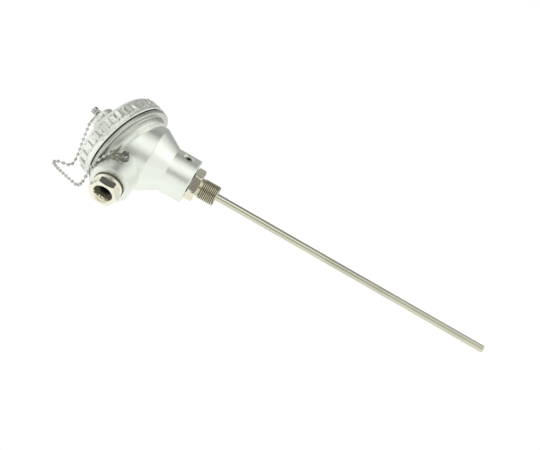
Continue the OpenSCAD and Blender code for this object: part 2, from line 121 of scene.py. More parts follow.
@dataclass(frozen=True)
class Probe:
    """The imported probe: its nodes, and the lines and places that its pieces share."""

    nodes: dict
    shaft: Line
    thread_r: float
    rim: Line
    gland: Line
    clasp: Vector

    @property
    def thread_axes(self) -> Matrix:
        """Axes at the middle of the process thread, +Z to the head and +X along the gland."""
        return axes(self.shaft.point, self.gland.way, self.shaft.way)

    @classmethod
    def from_frame(cls, frame: dict) -> "Probe":
        """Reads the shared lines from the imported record.


        Returns:
            The probe with its lines in metres.
        """
        mounts = {m["name"]: m for m in frame["record"]["mounts"]}
        joints = {j["name"]: j for j in frame["joints"]}
        thread, cap, nut = mounts["process_thread"], joints["cap_turn"], joints["gland_nut_turn"]
        return cls(
            nodes=frame["nodes"],
            shaft=Line(Vector(thread["pos_m"]), -Vector(thread["axis"]).normalized()),
            thread_r=thread["dims"]["r_mm"] * MM,
            rim=Line(Vector(cap["pos_m"]), Vector(cap["axis"]).normalized()),
            gland=Line(Vector(nut["pos_m"]), Vector(nut["axis"]).normalized()),
            clasp=middle_of("body_chain_clasp"),
        )


# ------------------------------------------------------------------ shader building blocks


def new_group(name: str, inputs: dict, outputs: dict) -> bpy.types.NodeTree:
    """Makes an empty shader node group with named sockets.

    Args:
        name: The group's name.
        inputs: Socket name to (socket type, default value).
        outputs: Socket name to socket type.

    Returns:
        The group's node tree, holding its input and output nodes.
    """
    tree = bpy.data.node_groups.new(name, "ShaderNodeTree")
    for label, (kind, default) in inputs.items():
        socket = tree.interface.new_socket(label, in_out="INPUT", socket_type=kind)
        if default is not None:
            socket.default_value = default
    for label, kind in outputs.items():
        tree.interface.new_socket(label, in_out="OUTPUT", socket_type=kind)
    tree.nodes.new("NodeGroupInput").name = "in"
    tree.nodes.new("NodeGroupOutput").name = "out"
    return tree


@dataclass
class Graph:
    """A node tree with short ways to add and join nodes."""

    tree: bpy.types.NodeTree

    def add(self, kind: str, **settings: object) -> bpy.types.Node:
        """Adds a node.

        Args:
            kind: The node's type name after "ShaderNode".
            settings: Node properties; a key that isn't a property names an input socket,
                with underscores for spaces, and a socket as the value is linked to it.

        Returns:
            The new node.
        """
        node = self.tree.nodes.new("ShaderNode" + kind)
        for key, value in settings.items():
            if hasattr(node, key):
                setattr(node, key, value)
            else:
                self.put(node, key.replace("_", " "), value)
        return node

    def put(self, node: bpy.types.Node, socket: object, value: object) -> None:
        """Sets an input socket, or links it when the value is an output socket."""
        target = node.inputs[socket]
        if isinstance(value, bpy.types.NodeSocket):
            self.tree.links.new(value, target)
        else:
            target.default_value = value

    def math(self, operation: str, *values: object) -> bpy.types.NodeSocket:
        """A Math node's result.

        Args:
            operation: The Math node's operation.
            values: Its operands, numbers or sockets.

        Returns:
            The result socket.
        """
        node = self.add("Math", operation=operation)
        for index, value in enumerate(values):
            self.put(node, index, value)
        return node.outputs[0]

    def mix(self, factor: object, a: object, b: object) -> bpy.types.NodeSocket:
        """A colour mixed from two, by a factor.

        Args:
            factor: The share of the second colour, a number or socket.
            a: The first colour.
            b: The second colour.

        Returns:
            The colour socket.
        """
        node = self.add("Mix", data_type="RGBA")
        self.put(node, 0, factor)
        self.put(node, 6, a)
        self.put(node, 7, b)
        return node.outputs[2]

    def ramp(self, value: object, low: object, high: object) -> bpy.types.NodeSocket:
        """A value stretched so that low becomes 0 and high becomes 1, clamped."""
        return self.add("MapRange", Value=value, From_Min=low, From_Max=high).outputs[0]

    def noise(self, **settings: object) -> bpy.types.NodeSocket:
        """A Noise Texture's value; its settings are given as for add."""
        return self.add("TexNoise", **settings).outputs["Fac"]

    def vector(self, operation: str, *values: object) -> bpy.types.bpy_prop_collection:
        """A Vector Math node's outputs.

        Args:
            operation: The Vector Math node's operation.
            values: Its operands, vectors or sockets.

        Returns:
            The node's outputs, a Vector and a Value.
        """
        node = self.add("VectorMath", operation=operation)
        for index, value in enumerate(values):
            self.put(node, index, value)
        return node.outputs

    def dot(self, a: object, b: object) -> bpy.types.NodeSocket:
        """The dot product of two vectors."""
        return self.vector("DOT_PRODUCT", a, b)["Value"]

    def place(self) -> bpy.types.NodeSocket:
        """The piece's own coordinates."""
        return self.add("TexCoord").outputs["Object"]


class Effects:
    """Shader node groups that several finishes share, each built once.

    The skin's height is its grain with a share of its pits and of its swell. The painted
    shade with some soiling has spots, as a noise scale per metre, and they move its edge by
    up to the wander, in metres.
    """

    PIT_SHARE: float = 0.35
    SWELL_SHARE: float = 0.9
    GRAIN_ROUGHNESS: float = 0.6
    SHADE_AND_DIRT_SPOTS: float = 320.0
    SHADE_AND_DIRT_WANDER: float = 0.004

    def __init__(self) -> None:
        """Builds every group."""
        self.cast_skin = self._cast_skin()
        self.blotches = self._blotches()
        self.turning = self._turning()
        self.shade_and_dirt = self._shade_and_dirt()
        self.meander = self._meander()

    def _cast_skin(self) -> bpy.types.NodeTree:
        """The pebbled skin of a sand casting: a height and a fine mottling."""
        tree = new_group(
            "cast_skin",
            {"Grain": (NUMBER, 900.0), "Swell": (NUMBER, 120.0)},
            {"Height": NUMBER, "Mottle": NUMBER},
        )
        graph = Graph(tree)
        socket, out = tree.nodes["in"].outputs, tree.nodes["out"]
        place = graph.place()
        grain = graph.noise(
            Vector=place, Scale=socket["Grain"], Detail=4.0, Roughness=self.GRAIN_ROUGHNESS
        )
        swell = graph.noise(Vector=place, Scale=socket["Swell"], Detail=2.0)
        pits = graph.add("TexVoronoi", Vector=place, Scale=socket["Grain"])
        pebble = graph.math("MULTIPLY_ADD", pits.outputs["Distance"], self.PIT_SHARE, grain)
        graph.put(out, "Height", graph.math("MULTIPLY_ADD", swell, self.SWELL_SHARE, pebble))
        graph.put(out, "Mottle", graph.math("MULTIPLY", swell, grain))
        return tree

    def _blotches(self) -> bpy.types.NodeTree:
        """Large soft stains, from 0 to 1, as handling and casting leave them."""
        tree = new_group(
            "blotches",
            {"Scale": (NUMBER, 35.0), "Low": (NUMBER, 0.4), "High": (NUMBER, 0.7)},
            {"Mask": NUMBER},
        )
        graph = Graph(tree)
        socket, out = tree.nodes["in"].outputs, tree.nodes["out"]
        stain = graph.noise(Vector=graph.place(), Scale=socket["Scale"], Detail=5.0)
        graph.put(out, "Mask", graph.ramp(stain, socket["Low"], socket["High"]))
        return tree

    def _turning(self) -> bpy.types.NodeTree:
        """Fine rings left by turning or polishing, as a height along a given axis."""
        tree = new_group(
            "turning_marks",
            {"Axis": (VECTOR, (0.0, 0.0, 1.0)), "Rings": (NUMBER, 2200.0)},
            {"Height": NUMBER},
        )
        graph = Graph(tree)
        socket, out = tree.nodes["in"].outputs, tree.nodes["out"]
        along = graph.dot(graph.place(), socket["Axis"])
        rings = graph.math("MULTIPLY", along, socket["Rings"])
        line = graph.noise(noise_dimensions="1D", W=rings, Scale=1.0, Detail=3.0)
        graph.put(out, "Height", line)
        return tree

    def _meander(self) -> bpy.types.NodeTree:
        """A thin line of painted shade at the foot of a battlement that runs round an axis, from 0
        to 1.
        """
        tree = new_group(
            "battlement_line",
            {
                "Origin": (VECTOR, (0.0, 0.0, 0.0)), "X": (VECTOR, (1.0, 0.0, 0.0)),
                "Y": (VECTOR, (0.0, 1.0, 0.0)), "Z": (VECTOR, (0.0, 0.0, 1.0)),
                "Low": (NUMBER, 0.005), "High": (NUMBER, 0.012), "Count": (NUMBER, 24.0),
                "Pitch": (NUMBER, 0.0105), "Phase": (NUMBER, 0.0), "Width": (NUMBER, 0.0005),
            },
            {"Mask": NUMBER},
        )
        graph = Graph(tree)
        socket, out = tree.nodes["in"].outputs, tree.nodes["out"]
        offset = graph.vector("SUBTRACT", graph.place(), socket["Origin"])["Vector"]
        along = {label: graph.dot(offset, socket[label]) for label in "XYZ"}
        # a tooth's middle has the share 0.5, its walls 0.25 and 0.75
        turns = graph.math("DIVIDE", graph.math("ARCTAN2", along["Y"], along["X"]), math.tau)
        teeth = graph.math("MULTIPLY", turns, socket["Count"])
        step = graph.math("SUBTRACT", teeth, socket["Phase"])
        share = graph.math("FRACT", graph.math("ADD", step, 0.5))
        off_middle = graph.math("ABSOLUTE", graph.math("SUBTRACT", share, 0.5))
        beside = graph.math("SUBTRACT", off_middle, 0.25)
        beside = graph.math("MULTIPLY", beside, socket["Pitch"])
        # distances to the upright lines, to the line over a tooth and to that between two
        over = graph.math("SUBTRACT", along["Z"], socket["High"])
        under = graph.math("SUBTRACT", socket["Low"], along["Z"])
        past = graph.math("MAXIMUM", graph.math("MAXIMUM", over, under), 0.0)
        foot_of_wall = graph.math("SUBTRACT", beside, socket["Width"])
        upright = graph.math("ADD", graph.math("ABSOLUTE", foot_of_wall), past)
        inside = graph.math("MAXIMUM", beside, 0.0)
        outside = graph.math("MAXIMUM", graph.math("MULTIPLY", beside, -1.0), 0.0)
        crown = graph.math("ADD", graph.math("ABSOLUTE", over), inside)
        foot = graph.math("ADD", graph.math("ABSOLUTE", under), outside)
        nearest = graph.math("MINIMUM", upright, graph.math("MINIMUM", crown, foot))
        half = graph.math("MULTIPLY", socket["Width"], 0.5)
        graph.put(out, "Mask", graph.ramp(nearest, socket["Width"], half))
        return tree

    def _shade_and_dirt(self) -> bpy.types.NodeTree:
        """Painted shade with some soiling that fades with the distance from a point, or from the
        plane through it.
        """
        tree = new_group(
            "shade_and_dirt",
            {
                "Centre": (VECTOR, (0.0, 0.0, 0.0)), "Axis": (VECTOR, (0.0, 0.0, 0.0)),
                "Near": (NUMBER, 0.004), "Far": (NUMBER, 0.009),
            },
            {"Mask": NUMBER},
        )
        graph = Graph(tree)
        socket, out = tree.nodes["in"].outputs, tree.nodes["out"]
        place = graph.place()
        offset = graph.vector("SUBTRACT", place, socket["Centre"])["Vector"]
        planar = graph.math("ABSOLUTE", graph.dot(offset, socket["Axis"]))
        # the axis has a length of 1 for a plane and of 0 for a point
        distance = graph.add("Mix", data_type="FLOAT")
        graph.put(distance, 0, graph.vector("LENGTH", socket["Axis"])["Value"])
        graph.put(distance, 2, graph.vector("LENGTH", offset)["Value"])
        graph.put(distance, 3, planar)
        spots = graph.noise(Vector=place, Scale=self.SHADE_AND_DIRT_SPOTS, Detail=3.0)
        uneven = graph.math("MULTIPLY_ADD", spots, self.SHADE_AND_DIRT_WANDER, distance.outputs[0])
        graph.put(out, "Mask", graph.ramp(uneven, socket["Far"], socket["Near"]))
        return tree


# ------------------------------------------------------------------ finishes


@dataclass(frozen=True)
class ShadeAndDirt:
    """Painted shade with some soiling near a point, or near the plane through it when an axis
    is given, in metres.
    """

    centre: tuple
    near: float
    far: float
    amount: float
    axis: tuple = (0.0, 0.0, 0.0)


@dataclass(frozen=True)
class Meander:
    """The painted shade line, with some soiling, along the cap's battlement, in metres from the
    cap's own axes.
    """

    where: Matrix
    low: float
    high: float
    phase: float
    count: int = 24
    radius: float = 0.040
    width: float = 0.00055
    amount: float = 0.45

    @property
    def pitch(self) -> float:
        """The way round the cap from one tooth to the next."""
        return math.tau * self.radius / self.count

    @classmethod
    def round_cap(cls, probe: Probe) -> "Meander":
        """Reads the battlement's heights and its angle from the cap's node.

        Args:
            probe: The probe with the cap's node.

        Returns:
            The line's place.
        """
        # skin is the depth that counts as the outside, crown_band the height that counts as
        # a tooth's top; the line runs clear above both steps, and the foot of the lower one
        # lies at foot_share of the whole height
        skin, crown_band, foot_share, clear = 0.00045, 0.0005, 0.39, 0.0006
        where = axes(probe.rim.point, probe.gland.way, probe.rim.way)
        back = where.inverted()
        points = [back @ vertex.co for vertex in probe.nodes["cap"].data.vertices]
        outer = [point for point in points if point.xy.length > cls.radius - skin]
        foot, high = min(point.z for point in outer), max(point.z for point in outer)
        crown = [math.atan2(p.y, p.x) * cls.count for p in outer if p.z > high - crown_band]
        angle = math.atan2(sum(map(math.sin, crown)), sum(map(math.cos, crown)))
        low = foot + (high - foot) * foot_share
        return cls(where, low + clear, high + clear, angle / math.tau)


@dataclass(frozen=True)
class Finish:
    """A metal, rubber or ceramic finish with the marks that its making leaves, and with
    painted shade where it is asked for.
    """

    name: str
    colour: tuple
    shade: tuple
    metallic: float = 1.0
    roughness: float = 0.3
    rough_shade: float = 0.1
    grain: float = 900.0
    swell: float = 120.0
    bump: float = 0.0
    depth: float = 0.0002
    stain_scale: float = 35.0
    shade_and_dirt: tuple = ()
    shade_and_dirt_colour: tuple = (0.26, 0.26, 0.22)
    line: Meander | None = None
    turned_about: tuple = ()
    rings: float = 2200.0

    def build(self, effects: Effects) -> bpy.types.Material:
        """Makes the material.

        Args:
            effects: The shared shader node groups.

        Returns:
            The finished material.
        """
        material = bpy.data.materials.new(self.name)
        material.use_nodes = True
        graph = Graph(material.node_tree)
        shader = material.node_tree.nodes["Principled BSDF"]
        skin = graph.add("Group", node_tree=effects.cast_skin, Grain=self.grain, Swell=self.swell)
        stains = graph.add("Group", node_tree=effects.blotches, Scale=self.stain_scale)
        colour = graph.mix(stains.outputs["Mask"], (*self.colour, 1.0), (*self.shade, 1.0))
        # each patch darkens the colour with painted shade and some soiling
        for patch in self.shade_and_dirt:
            mask = graph.add(
                "Group", node_tree=effects.shade_and_dirt, Centre=patch.centre, Axis=patch.axis,
                Near=patch.near, Far=patch.far,
            )
            colour = self._shaded_and_dirtied(graph, colour, mask, patch.amount)
        # a thin line of painted shade, with some soiling, along the cap's battlement
        if self.line:
            line = self.line
            x, y, z = (tuple(line.where.col[k].xyz) for k in range(3))
            mask = graph.add(
                "Group", node_tree=effects.meander, Origin=tuple(line.where.translation),
                X=x, Y=y, Z=z, Low=line.low, High=line.high, Count=line.count,
                Phase=line.phase, Pitch=line.pitch, Width=line.width,
            )
            colour = self._shaded_and_dirtied(graph, colour, mask, line.amount)
        graph.put(shader, "Base Color", colour)
        mottle = skin.outputs["Mottle"]
        roughness = graph.math("MULTIPLY_ADD", mottle, self.rough_shade, self.roughness)
        graph.put(shader, "Roughness", roughness)
        shader.inputs["Metallic"].default_value = self.metallic
        height = skin.outputs["Height"]
        if self.turned_about:
            marks = graph.add(
                "Group", node_tree=effects.turning, Axis=self.turned_about, Rings=self.rings
            )
            height = marks.outputs["Height"]
        if self.bump:
            bump = graph.add("Bump", Strength=self.bump, Distance=self.depth, Height=height)
            graph.put(shader, "Normal", bump.outputs[0])
        return material

    def _shaded_and_dirtied(
        self, graph: Graph, colour: object, mask: bpy.types.Node, amount: float
    ) -> bpy.types.NodeSocket:
        """The colour with painted shade and some soiling over it where a mask says so.

        Args:
            graph: The material's nodes.
            colour: The clean colour.
            mask: The group node that puts out the mask.
            amount: The share of painted shade and soiling where the mask is 1.

        Returns:
            The colour socket.
        """
        share = graph.math("MULTIPLY", mask.outputs["Mask"], amount)
        return graph.mix(share, colour, (*self.shade_and_dirt_colour, 1.0))


class Slot(Enum):
    """The record's material slots."""

    BODY = "cast_aluminium"
    CAP = "cap_aluminium"
    RUBBER = "black_rubber"
    STEEL = "stainless"
    GLAND = "nickel_brass"
    CHAIN = "chain_steel"
    SET_SCREW = "set_screw_steel"
    CERAMIC = "ceramic"
    CLAMP = "brass_clamp"
    LEAD = "lead_insulation"
    SLIP = "slip_plastic"


# ------------------------------------------------------------------ helpers for the modelling


def deselect_all() -> None:
    """Leaves nothing selected and no object active."""
    for thing in bpy.context.scene.objects:
        thing.select_set(False)
    bpy.context.view_layer.objects.active = None


def only(thing: bpy.types.Object) -> bpy.types.Object:
    """Selects one object alone and makes it active."""
    deselect_all()
    thing.select_set(True)
    bpy.context.view_layer.objects.active = thing
    return thing


def named(name: str) -> bpy.types.Object:
    """Names the object that an operator has just made."""
    thing = bpy.context.object
    thing.name = name
    thing.data.name = name
    return thing


def settle(thing: bpy.types.Object) -> None:
    """Applies an object's place, turn and size to its mesh."""
    only(thing)
    bpy.ops.object.transform_apply(location=True, rotation=True, scale=True)


def apply_modifiers(thing: bpy.types.Object) -> None:
    """Applies every modifier on the object, in order."""
    only(thing)
    for modifier in list(thing.modifiers):
        bpy.ops.object.modifier_apply(modifier=modifier.name)


def place(thing: bpy.types.Object, where: Matrix) -> None:
    """Moves a finished mesh to its place and leaves its object at the origin."""
    thing.data.transform(where)
    thing.matrix_world = Matrix.Identity(4)
    thing.data.update()


def in_edit_mode(thing: bpy.types.Object, work: Callable[[], object]) -> None:
    """Opens one object in edit mode with all of it selected, works on it and closes it.

    Args:
        thing: The mesh object.
        work: What to do while it is open.
    """
    only(thing)
    bpy.ops.object.mode_set(mode="EDIT")
    bpy.ops.mesh.select_mode(type="VERT")
    bpy.ops.mesh.select_all(action="SELECT")
    work()
    bpy.ops.object.mode_set(mode="OBJECT")


def close_up() -> None:
    """Merges doubled points and turns every face outwards; for use in edit mode."""
    bpy.ops.mesh.select_all(action="SELECT")
    bpy.ops.mesh.remove_doubles(threshold=MERGE)
    bpy.ops.mesh.normals_make_consistent(inside=False)


def turned(name: str, profile: list, steps: int = 96) -> bpy.types.Object:
    """A piece turned on a lathe.

    Args:
        name: The piece's name.
        profile: Its half section as (radius, height) points in millimetres, closed by the
            last point being the first one again.
        steps: How many steps the turn has.

    Returns:
        The new object, turned about its own +Z.
    """
    deselect_all()
    bpy.ops.mesh.primitive_plane_add(size=MM)
    thing = named(name)
    points = [Vector((radius, 0.0, height)) * MM for radius, height in profile]

    def work() -> None:
        bpy.ops.mesh.merge(type="CENTER")
        bpy.ops.transform.translate(value=points[0])
        for here, there in zip(points, points[1:]):
            bpy.ops.mesh.extrude_region_move(TRANSFORM_OT_translate={"value": there - here})
        bpy.ops.mesh.select_all(action="SELECT")
        bpy.ops.mesh.remove_doubles(threshold=MERGE)
        bpy.ops.mesh.spin(steps=steps, angle=math.tau, center=(0, 0, 0), axis=(0, 0, 1))
        close_up()

    in_edit_mode(thing, work)
    return thing


def helix(name: str, section: list, pitch: float, turns: int, steps: int) -> bpy.types.Object:
    """A ridge or wire that climbs round +Z.

    Args:
        name: The piece's name.
        section: Its closed section as (radius, height) points in millimetres.
        pitch: Its climb in one turn, in millimetres.
        turns: How many turns it makes.
        steps: How many steps one turn has.

    Returns:
        The new object, closed at both ends.
    """
    deselect_all()
    bpy.ops.mesh.primitive_circle_add(vertices=len(section), radius=MM)
    thing = named(name)
    for vertex, (radius, height) in zip(thing.data.vertices, section):
        vertex.co = Vector((radius, 0.0, height)) * MM
    screw = thing.modifiers.new("climb", "SCREW")
    screw.screw_offset = pitch * MM
    screw.iterations = turns
    screw.steps = screw.render_steps = steps
    apply_modifiers(thing)

    def work() -> None:
        bpy.ops.mesh.fill_holes(sides=len(section))
        close_up()

    in_edit_mode(thing, work)
    return thing


def combine(thing: bpy.types.Object, other: bpy.types.Object, how: str) -> bpy.types.Object:
    """Joins, cuts or crosses one closed piece with another, which is used up.

    Args:
        thing: The piece to change.
        other: The piece to change it with.
        how: The Boolean modifier's operation.

    Returns:
        The changed piece.
    """
    boolean = thing.modifiers.new("cut", "BOOLEAN")
    boolean.operation = how
    boolean.solver = "EXACT"
    boolean.object = other
    apply_modifiers(thing)
    bpy.data.objects.remove(other)
    return thing


def join(things: list) -> bpy.types.Object:
    """Makes one object of several; the first one's name stays."""
    only(things[0])
    for thing in things:
        thing.select_set(True)
    bpy.ops.object.join()
    return bpy.context.object


def smooth(thing: bpy.types.Object, angle: float) -> None:
    """Shades a piece smooth across every edge flatter than an angle in degrees."""
    only(thing)
    bpy.ops.object.shade_smooth_by_angle(angle=math.radians(angle))


def merged_copy(node: bpy.types.Object, name: str) -> bpy.types.Object:
    """A copy of a node's mesh with its points merged and its flat faces made whole.

    Args:
        node: The node's object.
        name: The copy's name.

    Returns:
        The copy, ready to be shaped further.
    """
    copy = node.copy()
    copy.data = node.data.copy()
    copy.name = copy.data.name = name
    bpy.context.scene.collection.objects.link(copy)
    copy.data.materials.clear()

    def work() -> None:
        bpy.ops.mesh.remove_doubles(threshold=MERGE)
        bpy.ops.mesh.dissolve_limited(angle_limit=math.radians(0.6))

    in_edit_mode(copy, work)
    return copy


def dress(thing: bpy.types.Object, material: bpy.types.Material) -> None:
    """Gives a piece its material."""
    thing.data.materials.clear()
    thing.data.materials.append(material)


# ------------------------------------------------------------------ sub-assemblies


@dataclass
class ProcessFitting:
    """The fitting that screws into the pipe: thread, relief groove, hexagon and spigot.

    Heights run along the probe from the thread's middle. Sizes are in millimetres. A ridge's
    foot and crest are half widths, as shares of the pitch, and its root is sunk in the core.
    The overlap is how far the core and the hexagon reach into each other.
    """

    probe: Probe
    thread_len: float = 14.5
    pitch: float = 1.5
    turns: int = 9
    root_depth: float = 0.95
    groove_share: float = 0.45
    relief_w: float = 1.7
    relief_depth: float = 1.1
    hex_af: float = 24.0
    hex_t: float = 7.5
    hex_turn: float = 14.0
    spigot_r: float = 10.92
    spigot_len: float = 15.6
    bore_r: float = 2.78
    overlap: float = 1.0
    start_break: float = 0.5
    relief_break: float = 0.3
    spigot_break: float = 0.6
    end_margin: float = 0.2
    foot_share: float = 0.46
    crest_share: float = 0.07
    first_ridge: float = 0.45
    root_sink: float = 0.1
    run_out: float = 1.0
    ridge_steps: int = 72

    def build(self, material: bpy.types.Material, grooves: bpy.types.Material) -> bpy.types.Object:
        """Makes the fitting in place of its plain node.

        Args:
            material: Its finish.
            grooves: The painted shade at the thread's root, a dark finish.

        Returns:
            The finished piece.
        """
        fitting = join([combine(self._core(), self._hexagon(), "UNION"), self._thread()])
        fitting.name = fitting.data.name = "fitting_with_thread"
        place(fitting, self.probe.thread_axes)
        smooth(fitting, 40.0)
        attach(fitting, "housing")
        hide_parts("process_fitting")
        dress(fitting, material)
        # the second slot holds the painted shade for the thread's grooves
        fitting.data.materials.append(grooves)
        self._darken(fitting)
        return fitting

    def _darken(self, fitting: bpy.types.Object) -> None:
        """Gives the thread's root and the lower part of its flanks the painted groove shade."""
        back = self.probe.thread_axes.inverted()
        end = self.thread_len / 2 - self.end_margin
        inner, outer = self.bore_r + self.overlap, self._thread_r - self._groove_depth
        for face in fitting.data.polygons:
            centre = back @ face.center / MM
            if abs(centre.z) < end and inner < centre.xy.length < outer:
                face.material_index = 1

    @property
    def _thread_r(self) -> float:
        """The thread's outside radius in millimetres."""
        return self.probe.thread_r / MM

    @property
    def _groove_depth(self) -> float:
        """How far under the crest the groove's painted shade starts, in millimetres."""
        return self.root_depth * self.groove_share

    def _core(self) -> bpy.types.Object:
        """The turned body under the thread, with the bore for the sheath."""
        low, high = -self.thread_len / 2, self.thread_len / 2
        root, relief = self._thread_r - self.root_depth, self._thread_r - self.relief_depth
        hexagon = high + self.relief_w
        shoulder = hexagon + self.hex_t
        end = shoulder + self.spigot_len
        profile = [
            (self.bore_r, low), (root - self.start_break, low), (root, low + self.start_break),
            (root, high - self.relief_break), (relief, high), (relief, hexagon + self.overlap),
            (self.spigot_r, shoulder - self.overlap), (self.spigot_r, end - self.spigot_break),
            (self.spigot_r - self.spigot_break, end), (self.bore_r, end), (self.bore_r, low),
        ]
        return turned("fitting_core", profile)

    def _hexagon(self) -> bpy.types.Object:
        """The hexagon with both of its faces chamfered round, bored for the core."""
        flat, corner = self.hex_af / 2, self.hex_af / 2 / math.cos(math.pi / 6)
        low = self.thread_len / 2 + self.relief_w
        high = low + self.hex_t
        chamfer = (corner - flat) * math.tan(math.pi / 6)
        deselect_all()
        bpy.ops.mesh.primitive_cylinder_add(
            vertices=6, radius=corner * MM, depth=self.hex_t * MM,
            location=(0, 0, (low + high) / 2 * MM),
            rotation=(0, 0, math.radians(self.hex_turn + 90)),
        )
        hexagon = named("fitting_hexagon")
        settle(hexagon)
        bore = self.bore_r + self.overlap
        blank = [
            (bore, low), (flat, low), (corner, low + chamfer), (corner, high - chamfer),
            (flat, high), (bore, high), (bore, low),
        ]
        return combine(hexagon, turned("hexagon_blank", blank), "INTERSECT")

    def _thread(self) -> bpy.types.Object:
        """The raised thread, chamfered away at its start and run out at its end."""
        crest = self._thread_r
        root, waist = crest - self.root_depth - self.root_sink, crest - self._groove_depth
        foot, flat = self.pitch * self.foot_share, self.pitch * self.crest_share
        mid = foot * self.groove_share + flat
        low, high = -self.thread_len / 2, self.thread_len / 2
        start = low + self.first_ridge
        section = [
            (root, start - foot), (waist, start - mid), (crest, start - flat),
            (crest, start + flat), (waist, start + mid), (root, start + foot),
        ]
        thread = helix("fitting_thread", section, self.pitch, self.turns, self.ridge_steps)
        for vertex in thread.data.vertices:
            height = vertex.co.z / MM
            cut = max(0.0, self.run_out - (height - low), (height - high) + self.run_out)
            most = max(crest - cut, root)
            radius = vertex.co.xy.length / MM
            if radius > most:
                vertex.co.xy *= most / radius
        return thread


@dataclass
class BallChain:
    """The ball chain from the cap's screw to the clasp. Sizes are in millimetres.

    A shell of the node counts as a ball from ball_share of the radius in its least width. A
    ball is drawn in past hole_from of its radius, and a link is narrowed to its waist near
    its middle, up to waist_share of its length.
    """

    probe: Probe
    ball_r: float = 1.45
    link_r: float = 0.45
    spacing: float = 4.5
    sideways: tuple = (0.3, 0.2, 1.0)
    ball_share: float = 1.5
    hole_from: float = 0.93
    drawn_in: float = 0.86
    link_hidden: float = 0.5
    waist_share: float = 0.3
    waist: float = 0.85

    def build(self, material: bpy.types.Material) -> bpy.types.Object:
        """Makes the chain in place of its plain node.

        Args:
            material: Its finish.

        Returns:
            The finished piece.
        """
        centres = self._centres()
        ball, link = self._ball(), self._link()
        things = []
        aside, last = Vector(self.sideways), len(centres) - 1
        for index, here in enumerate(centres):
            before, after = centres[max(index - 1, 0)], centres[min(index + 1, last)]
            things.append(self._copy(ball, axes(here, aside, after - before)))
            if index < last:
                things.append(self._copy(link, axes((here + after) / 2, aside, after - here)))
        for pattern in (ball, link):
            bpy.data.objects.remove(pattern)
        chain = join(things)
        chain.name = chain.data.name = "ball_chain"
        smooth(chain, 50.0)
        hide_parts("bead_chain")
        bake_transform(chain)
        dress(chain, material)
        return chain

    def _centres(self) -> list:
        """The balls' middles in order, from the cap's screw on."""
        pattern = merged_copy(self.probe.nodes["bead_chain"], "chain_pattern")
        mesh = bmesh.new()
        mesh.from_mesh(pattern.data)
        left = set(mesh.verts)
        middles = []
        while left:
            shell, edge = set(), [left.pop()]
            while edge:
                vertex = edge.pop()
                shell.add(vertex)
                for other in (e.other_vert(vertex) for e in vertex.link_edges):
                    if other in left:
                        left.discard(other)
                        edge.append(other)
            low = Vector([min(v.co[k] for v in shell) for k in range(3)])
            high = Vector([max(v.co[k] for v in shell) for k in range(3)])
            if min(high - low) > self.ball_r * self.ball_share * MM:
                middles.append((low + high) / 2)
        mesh.free()
        bpy.data.objects.remove(pattern)
        eyelet = middle_of("cap_chain_eyelet")
        order = [min(middles, key=lambda p: (p - eyelet).length)]
        middles.remove(order[0])
        while middles:
            order.append(min(middles, key=lambda p: (p - order[-1]).length))
            middles.remove(order[-1])
        return order

    def _ball(self) -> bpy.types.Object:
        """One hollow ball with its two holes drawn in."""
        deselect_all()
        bpy.ops.mesh.primitive_uv_sphere_add(segments=20, ring_count=14, radius=self.ball_r * MM)
        ball = named("chain_ball")
        hole = self.hole_from * self.ball_r * MM
        for vertex in ball.data.vertices:
            if abs(vertex.co.z) > hole:
                vertex.co.z *= self.drawn_in
        return ball

    def _link(self) -> bpy.types.Object:
        """The short wire between two balls, a little waisted."""
        deselect_all()
        depth = (self.spacing - 2 * self.ball_r + self.link_hidden) * MM
        bpy.ops.mesh.primitive_cylinder_add(vertices=10, radius=self.link_r * MM, depth=depth)
        link = named("chain_link")
        in_edit_mode(link, lambda: bpy.ops.mesh.subdivide(number_cuts=2))
        for vertex in link.data.vertices:
            if abs(vertex.co.z) < depth * self.waist_share:
                vertex.co.xy *= self.waist
        return link

    @staticmethod
    def _copy(pattern: bpy.types.Object, where: Matrix) -> bpy.types.Object:
        """A copy of a pattern with its own mesh, put in its place."""
        copy = pattern.copy()
        copy.data = pattern.data.copy()
        bpy.context.scene.collection.objects.link(copy)
        place(copy, where)
        return copy


@dataclass
class ScrewedPiece:
    """A piece that screws on: its node made whole, and turned further on if that is asked."""

    probe: Probe
    node: str
    name: str
    body: str
    slot: Slot
    line: Line | None = None
    turn: float = 0.0
    smooth_below: float = 14.0

    def build(self, material: bpy.types.Material) -> bpy.types.Object:
        """Makes the piece in place of its node.

        Args:
            material: Its finish.

        Returns:
            The finished piece.
        """
        piece = merged_copy(self.probe.nodes[self.node], self.name)
        if self.line:
            turn = Matrix.Rotation(math.radians(self.turn), 4, self.line.way)
            there = Matrix.Translation(self.line.point)
            place(piece, there @ turn @ Matrix.Translation(-self.line.point))
        dress(piece, material)
        smooth(piece, self.smooth_below)
        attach(piece, self.body)
        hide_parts(self.node)
        return piece


